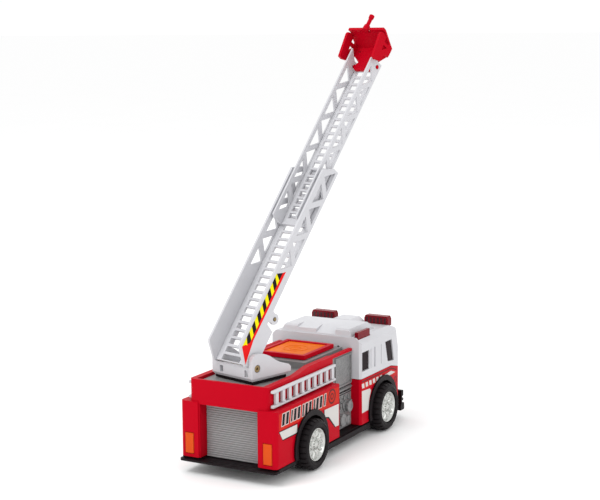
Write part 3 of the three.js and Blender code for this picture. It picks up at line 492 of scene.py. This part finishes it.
def hub(end, hand, axle, side):
    """A spoked hub with a closed back, a bore for the axle and a ring of nuts."""
    name = f"{end}_hub_{hand}"
    place = wheel_place(axle, side)
    bm = bmesh.new()
    radii = [0.5 + 0.42 * i for i in range(20)] + [8.75, HUB_R]
    centre = bm.verts.new(place(0, 0, hub_height(0, 0)))
    rings = []
    for r in radii:
        ring = []
        for k in range(HUB_SEGMENTS):
            angle = TAU * k / HUB_SEGMENTS
            height = HUB_EDGE if r >= HUB_R else hub_height(r, angle)
            ring.append(bm.verts.new(place(r * math.cos(angle), r * math.sin(angle), height)))
        rings.append(ring)
    for r, h in ((HUB_R, HUB_BACK), (BORE_R, HUB_BACK), (BORE_R, BORE_END)):
        ring = []
        for k in range(HUB_SEGMENTS):
            angle = TAU * k / HUB_SEGMENTS
            ring.append(bm.verts.new(place(r * math.cos(angle), r * math.sin(angle), h)))
        rings.append(ring)
    bottom = bm.verts.new(place(0, 0, BORE_END))
    for a, b in zip(rings, rings[1:]):
        for k in range(HUB_SEGMENTS):
            m = (k + 1) % HUB_SEGMENTS
            bm.faces.new((a[k], a[m], b[m], b[k]))
    for k in range(HUB_SEGMENTS):
        m = (k + 1) % HUB_SEGMENTS
        bm.faces.new((centre, rings[0][m], rings[0][k]))
        bm.faces.new((bottom, rings[-1][k], rings[-1][m]))
    obj = finish_mesh(f"{name}_face", bm, "chrome", f"{end}_wheels", smooth=50)
    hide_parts(name)
    nuts = []
    for k in range(SPOKES):
        angle = TAU * (k + 0.5) / SPOKES
        y, z = NUT_CIRCLE_R * math.cos(angle), NUT_CIRCLE_R * math.sin(angle)
        nuts.append(circle(y, z, NUT_R, 6))
    slabs(f"{name}_nuts", nuts, place, 9.2, 10.35, "chrome", f"{end}_wheels", 0.08, "chrome_hub")


def wheels():
    for end, axle in (("front", FRONT_AXLE), ("rear", REAR_AXLE)):
        for hand, side in SIDES:
            tyre(end, hand, axle, side)
            hub(end, hand, axle, side)


# ------------------------------------------------------------------ rear of the body

SHUTTER_RIBS = 24
SHUTTER_DEEP = 1.6
# How far up a slat, and how deep behind its face, each corner of its section lies.
SLAT = ((0.0, 0.5), (0.08, 0.46), (0.2, 0.08), (0.34, 0.0), (0.74, 0.0), (0.86, 0.1), (0.95, 0.42))


def shutter():
    """The ribbed roller shutter: one rounded slat after another."""
    low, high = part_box("roller_shutter")
    x0, x1 = low.x / MM - SHIFT.x, high.x / MM - SHIFT.x
    z0, z1 = low.z / MM, high.z / MM
    face = high.y / MM - SHIFT.y
    pitch = (z1 - z0) / SHUTTER_RIBS
    outline = [(face - SHUTTER_DEEP, z0)]
    for i in range(SHUTTER_RIBS):
        outline += [(face - depth, z0 + (i + t) * pitch) for t, depth in SLAT]
    outline += [(face - SLAT[0][1], z1), (face - SHUTTER_DEEP, z1)]
    bm = bmesh.new()
    add_slab(bm, outline, lambda y, z, x: truck(x, y, z), x0, x1)
    slats = finish_mesh("roller_shutter_slats", bm, "shutter", "truck", smooth=60)
    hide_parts("roller_shutter")


# Printed layers, from their own lower to upper level, each a little sunk into the last.
LAYER_1 = (0.0, 0.05)
LAYER_2 = (0.04, 0.08)
LAYER_3 = (0.07, 0.11)
BARS = 12
BAR_START_Y = 20.6
BAR_PITCH = 4.05


def side_marks(hand, side):
    """Printed stickers on the side of the rear body."""
    place = wall_place(side)
    band = [(4.9, 29.0), (70.4, 29.0), (70.4, 37.6), (4.9, 37.6)]
    slabs(f"side_band_{hand}", [band], place, *LAYER_1, "decal_red", "truck")
    slanted = []
    outlined = []
    for k in range(BARS):
        y = BAR_START_Y + k * BAR_PITCH
        width = 2.5 if k % 3 else 1.4
        slanted.append([(y, 30.9), (y + width, 30.9), (y + width - 1.0, 36.9), (y - 1.0, 36.9)])
        end = y + width
        outlined.append([(y - 0.45, 30.5), (end + 0.55, 30.5), (end - 0.6, 37.3), (y - 1.6, 37.3)])
    slabs(f"side_bars_edge_{hand}", outlined, place, *LAYER_2, "decal_white", "truck")
    slabs(f"side_bars_{hand}", slanted, place, *LAYER_3, "decal_dark", "truck")
    rings = ring_parts(12.7, 34.0, 4.2, 3.2) + ring_parts(12.7, 34.0, 1.9, 1.1)
    slabs(f"side_ring_{hand}", rings, place, 0.04, 0.09, "decal_maroon", "truck")
    tail = [(70.2, 28.2), (51.8, 28.0), (51.8, 23.6), (67.0, 23.6)]
    tail_edge = [(70.9, 28.6), (51.3, 28.5), (51.3, 23.0), (66.8, 23.0)]
    nose = [(21.4, 28.4), (4.9, 28.0), (4.9, 16.0), (8.8, 16.0), (16.4, 23.4), (21.2, 24.4)]
    nose_edge = [(22.0, 28.4), (21.4, 28.4), (21.2, 24.4), (16.4, 23.4), (8.8, 16.0), (9.2, 15.4),
                 (17.0, 22.7), (22.0, 23.8)]
    slabs(f"side_panels_edge_{hand}", [tail_edge, nose_edge], place, *LAYER_1, "decal_dark", "truck")
    slabs(f"side_panels_{hand}", [tail, nose], place, *LAYER_2, "decal_white", "truck")


CAB_TAPER_Y = -61.8  # the cab's sides draw in from here forwards
CAB_TAPER_LENGTH = 11.6
CAB_TAPER = 0.9


def cab_wall(side):
    """Places (y, z, out) on the cab's side, following its taper towards the front."""
    def place(y, z, w):
        taper = max(0.0, (CAB_TAPER_Y - y) / CAB_TAPER_LENGTH)
        return truck(side * (BODY_X - CAB_TAPER * taper + w), y, z)
    return place


def cab_marks(hand, side):
    """Printed stickers on the side of the cab."""
    place = cab_wall(side)
    rear, bend = -23.6, CAB_TAPER_Y
    line = [(rear, 34.3), (bend, 34.3), (-70.6, 31.6), (-70.6, 30.9), (bend, 33.6), (rear, 33.6)]
    band = [(rear, 33.0), (bend, 33.0), (-70.4, 30.2), (-70.4, 28.6), (bend, 29.4), (rear, 29.6)]
    slabs(f"cab_band_{hand}", [band], place, 0.0, 0.04, "decal_red", "truck")
    slabs(f"cab_line_{hand}", [line], place, 0.0, 0.06, "decal_maroon", "truck")
    starts = [-24.0 - 4.65 * k for k in range(6)]
    squares = [[(y, 30.0), (y - 2.9, 30.0), (y - 2.3, 32.7), (y + 0.6, 32.7)] for y in starts]
    bar = [(-51.0, 31.6), (bend, 32.4), (-68.9, 30.2), (-62.0, 30.1), (-52.6, 30.4)]
    slabs(f"cab_squares_{hand}", squares + [bar], place, 0.03, 0.08, "decal_white", "truck")
    panel = [(rear, 28.6), (-33.8, 28.0), (-35.2, 26.6), (-33.0, 22.0), (-32.0, 15.9), (-23.8, 15.7)]
    slabs(f"cab_panel_{hand}", [panel], place, 0.0, 0.06, "decal_white", "truck")
    ring = ring_parts(-69.0, 25.3, 2.3, 1.6, 24)
    slabs(f"cab_ring_{hand}", ring, place, 0.0, 0.06, "decal_maroon", "truck")


# ------------------------------------------------------------------ turntable and ladder


# Levels of the black plate that paints the shadow in the gap under the turntable.
SHADOW_PLATE_LEVELS = (49.9, 51.4)
COLLAR_HOLE_R = 9.8


def turntable_shadow_plate():
    """A black plate between the turntable and the deck, painted shadow for the dark gap under the turntable, with
    a hole for the deck's collar.
    """
    half = [(0, -15.3), (12.6, -15.3), (14.2, -13.8), (14.2, 10.4), (0, 10.4)]
    steps = 16
    angles = [math.pi * (0.5 - k / steps) for k in range(steps + 1)]
    hole = [(COLLAR_HOLE_R * math.cos(a), COLLAR_HOLE_R * math.sin(a)) for a in angles]
    outline = half + hole
    mirrored = [(-x, y) for x, y in outline]
    halves = [outline, mirrored]
    slabs("turntable_shadow_plate", halves, table, *SHADOW_PLATE_LEVELS, "black", "turntable", 0.15, "black_plastic")


def hazard_band():
    """The hazard stripe on the right wall of the lower ladder, edged in red."""
    place = lambda s, n, w: ladder(-LADDER_WALL_X - w, s, n)
    low, high = 9.9, 13.6
    # Where the band starts and ends, at its high and low edges.
    foot, head = (6.0, 9.6), (48.6, 51.1)
    lean, width, pitch = 3.1, 3.0, 6.45
    plate = [(foot[1], low), (head[1], low), (head[0], high), (foot[0], high)]
    slabs("hazard_black", [plate], place, *LAYER_1, "decal_dark", "ladder")
    stripes = []
    count, start = 7, 7.9
    for k in range(count):
        s = start + k * pitch
        if k == 0:
            cut_off = [(s + width - lean, low + 1.0), (foot[0] + 1.4, low + 2.3)]
            stripes.append([(foot[0], high), (s + width, high), *cut_off])
            continue
        end = min(s + width, head[0])
        stripes.append([(s, high), (end, high), (s + width - lean, low), (s - lean, low)])
    slabs("hazard_yellow", stripes, place, 0.04, 0.09, "decal_yellow", "ladder")
    edge = [(52.7, 8.2), (11.9, 8.4), (-1.0, 6.2), (5.3, high)]
    edge += [(foot[0], high), (foot[1], low), (head[1], low)]
    slabs("hazard_red", [edge], place, *LAYER_1, "decal_bright", "ladder")


# ------------------------------------------------------------------ pump panels


PANEL_X = 23.0
SUNK = -0.1  # how far fitted pieces start inside the face that they sit on
GAUGES_Y = (-18.6, -13.9, -9.2)
GAUGES_Z = 26.2


def pump_details(hand, side):
    """Rivets, knobs, gauges, levers and hose couplings on the grey panel behind the cab."""
    place = wall_place(side, PANEL_X)
    rivets = [circle(y, z, 0.35, 12) for y in (-19.9, -6.4) for z in (35.2, 42.2, 49.2)]
    slabs(f"pump_rivets_{hand}", rivets, place, SUNK, 0.25, "cast", "truck", 0.08, "grey_plastic")
    lines = [[(-21.6, z), (3.2, z), (3.2, z + 0.45), (-21.6, z + 0.45)] for z in (28.6, 32.6)]
    slabs(f"pump_line_{hand}", lines, place, SUNK, 0.12, "decal_dark", "truck")
    knobs = [circle(-20.4 + 1.7 * k, 30.2, 0.45, 12) for k in range(14)]
    slabs(f"pump_knobs_{hand}", knobs, place, SUNK, 0.5, "black", "truck", 0.1, "black_plastic")
    gauges = [half for y in GAUGES_Y for half in ring_parts(y, GAUGES_Z, 1.7, 1.2, 24)]
    slabs(f"pump_gauge_rims_{hand}", gauges, place, SUNK, 0.7, "cast", "truck", 0.12, "grey_plastic")
    faces = [circle(y, GAUGES_Z, 1.2, 24) for y in GAUGES_Y]
    slabs(f"pump_gauge_faces_{hand}", faces, place, SUNK, 0.25, "grey", "truck", 0.0, "grey_plastic")
    hung = (-20.2, -10.4, -7.6)
    levers = [[(y - 0.5, 21.0), (y + 0.5, 21.0), (y + 0.8, 24.2), (y - 0.8, 24.2)] for y in hung]
    slabs(f"pump_levers_{hand}", levers, place, SUNK, 1.3, "cast", "truck", 0.25, "grey_plastic")
    profiles = []
    places = []
    couplings = ((-15.5, 21.5, 3.1, 3.1), (-6.5, 15.5, 3.7, 3.4), (-14.5, 14.0, 2.5, 2.4))
    for y, z, reach, radius in couplings:
        profiles.append([
            (0.0, reach - 0.8), (radius * 0.4, reach - 0.8), (radius * 0.5, reach + 0.1),
            (radius * 0.85, reach + 0.1), (radius * 1.04, reach - 0.25), (radius * 1.04, reach - 1.0),
            (radius * 1.02, 0.9), (radius * 1.2, 0.6), (radius * 1.2, -0.2), (0.0, -0.2),
        ])
        places.append(lambda a, b, h, y=y, z=z: truck(side * (PANEL_X + h), y + a, z + b))
    knurl = lambda r, h, angle: (r * (1 + 0.035 * math.cos(12 * angle) * (h > 0.3)), h)
    turned(f"pump_couplings_{hand}", profiles, places, "cast", "truck", 72, knurl)


# ------------------------------------------------------------------ cab details


def front_details():
    """Headlamps and grille bars on the cab's front."""
    place = lambda x, z, w: truck(x, CAB_FRONT_Y - w, z)
    half, high = 13.5, 1.0
    levels = (20.0, 22.2, 24.4, 26.6)
    bars = [[(-half, z), (half, z), (half, z + high), (-half, z + high)] for z in levels]
    slabs("grille_bars", bars, place, -0.2, 0.5, "black", "truck", 0.15, "black_plastic")
    lamp_x, lamp_z, lens_r = 20.5, 24.2, 2.9
    rims = [part for side in (-1, 1) for part in ring_parts(side * lamp_x, lamp_z, 3.6, lens_r)]
    lenses = [circle(side * lamp_x, lamp_z, lens_r) for side in (-1, 1)]
    slabs("headlamp_bezels", rims, place, -0.2, 0.6, "chrome", "truck", 0.1, "chrome_hub")
    slabs("headlamp_lenses", lenses, place, -0.2, 0.35, "diode", "truck", 0.15)


def roof_details():
    """Dark cores inside the beacons' lenses, and a dark disc on the cab's rear wall: painted shade standing in for
    a small hole.
    """
    rear_wall = lambda x, z, w: truck(x, CAB_REAR_Y + w, z)
    # Painted shade: a flat dark disc in place of the shadow inside a small hole.
    hole = circle(-14.8, 53.0, 0.85, 24)
    slabs("cab_rear_hole_shade", [hole], rear_wall, 0.0, 0.3, "decal_dark", "truck")
    for hand, side in SIDES:
        low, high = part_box(f"front_beacon_{hand}")
        x0, x1 = low.x / MM + 0.8, high.x / MM - 0.8
        z0, z1 = low.z / MM + 1.3, high.z / MM - 0.9
        count = 6
        cell_start, cell_end = 0.18, 0.82
        cells = []
        for k in range(count):
            a = x0 + (x1 - x0) * (k + cell_start) / count
            b = x0 + (x1 - x0) * (k + cell_end) / count
            cells.append([(a, z0), (b, z0), (b, z1), (a, z1)])
        place = lambda x, z, w, y=high.y: Vector((x * MM, y + w * MM, z * MM))
        name = f"front_beacon_cells_{hand}"
        slabs(name, cells, place, -0.05, 0.06, "beacon_core", "truck", 0.03, "red_lens")


# ------------------------------------------------------------------ button lens


def button_details():
    """Two moulded rings on the face of the button's lens."""
    low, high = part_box("button_lens")
    top = high.z / MM
    cx = (low.x + high.x) / 2 / MM
    cy = (low.y + high.y) / 2 / MM
    rings = ring_parts(cx, cy, 7.2, 6.6, 48) + ring_parts(cx, cy, 3.4, 2.9, 36)
    place = lambda x, y, w: Vector((x, y, top + w)) * MM
    slabs("button_rings", rings, place, -0.05, 0.18, "orange", "button", 0.06, "orange_lens")


# ------------------------------------------------------------------ floor, light, camera


FLOOR_DROP = 0.0001  # metres, to keep the floor clear of the tyres


def studio():
    """A pale floor, an even white world and three soft lights."""
    scene = bpy.context.scene
    floor_mesh = bpy.data.meshes.new("floor")
    reach = 120.0
    corners = [(-reach, -reach, 0), (reach, -reach, 0), (reach, reach, 0), (-reach, reach, 0)]
    floor_mesh.from_pydata(corners, [], [(0, 1, 2, 3)])
    floor = bpy.data.objects.new("floor", floor_mesh)
    scene.collection.objects.link(floor)
    floor.location.z = -FLOOR_DROP
    paper = Look("floor_paper", (0.97, 0.97, 0.97), 0.95).set("Specular IOR Level", 0.0)
    paper.tint(paper.remap(paper.noise(6, 2), 0.0, 0.4), (0.955, 0.955, 0.958))
    floor_mesh.materials.append(paper.material)

    world = bpy.data.worlds.new("studio")
    world.use_nodes = True
    background = world.node_tree.nodes["Background"]
    background.inputs["Color"].default_value = (1.0, 1.0, 1.0, 1.0)
    background.inputs["Strength"].default_value = 1.02
    scene.world = world

    def area(name, place, target, size, power):
        data = bpy.data.lights.new(name, "AREA")
        data.shape = "DISK"
        data.size = size
        data.energy = power
        light = bpy.data.objects.new(name, data)
        light.location = place
        light.rotation_mode = "QUATERNION"
        light.rotation_quaternion = (Vector(target) - Vector(place)).to_track_quat("-Z", "Y")
        scene.collection.objects.link(light)

    area("key", (0.35, 0.75, 1.25), (0, 0, 0.05), 0.6, 6.0)
    area("fill", (-1.1, 0.45, 0.7), (0, 0, 0.08), 0.9, 2.0)
    area("rim", (0.2, -1.1, 1.0), (0, 0, 0.08), 0.8, 2.5)
    scene.view_settings.view_transform = "Standard"
    scene.view_settings.look = "None"


LENS_MM = 86.164
SENSOR_MM = 36
CAMERA_X, CAMERA_Y, CAMERA_Z = -383.07, 684.25, 229.94


def camera():
    """The photograph's view, from behind on the truck's right."""
    azimuth, pitch, roll = math.radians(209.06), math.radians(8.65), math.radians(-0.407)
    level = math.cos(pitch)
    back = Vector((math.sin(azimuth) * level, -math.cos(azimuth) * level, math.sin(pitch)))
    right = (-back).cross(Vector((0, 0, 1))).normalized()
    up = right.cross(-back)
    tilted_right = math.cos(roll) * right + math.sin(roll) * up
    tilted_up = math.cos(roll) * up - math.sin(roll) * right
    data = bpy.data.cameras.new("camera")
    data.lens = LENS_MM
    data.sensor_width = SENSOR_MM
    data.clip_start, data.clip_end = 0.05, 500
    obj = bpy.data.objects.new("camera", data)
    rotation = Matrix((tilted_right, tilted_up, back)).transposed()
    place = Matrix.Translation(truck(CAMERA_X, CAMERA_Y, CAMERA_Z))
    obj.matrix_world = place @ rotation.to_4x4()
    bpy.context.scene.collection.objects.link(obj)
    bpy.context.scene.camera = obj


camera()
dress_nodes()
wheels()
shutter()
for hand, side in SIDES:
    side_marks(hand, side)
    cab_marks(hand, side)
    pump_details(hand, side)
turntable_shadow_plate()
hazard_band()
front_details()
roof_details()
button_details()
studio()
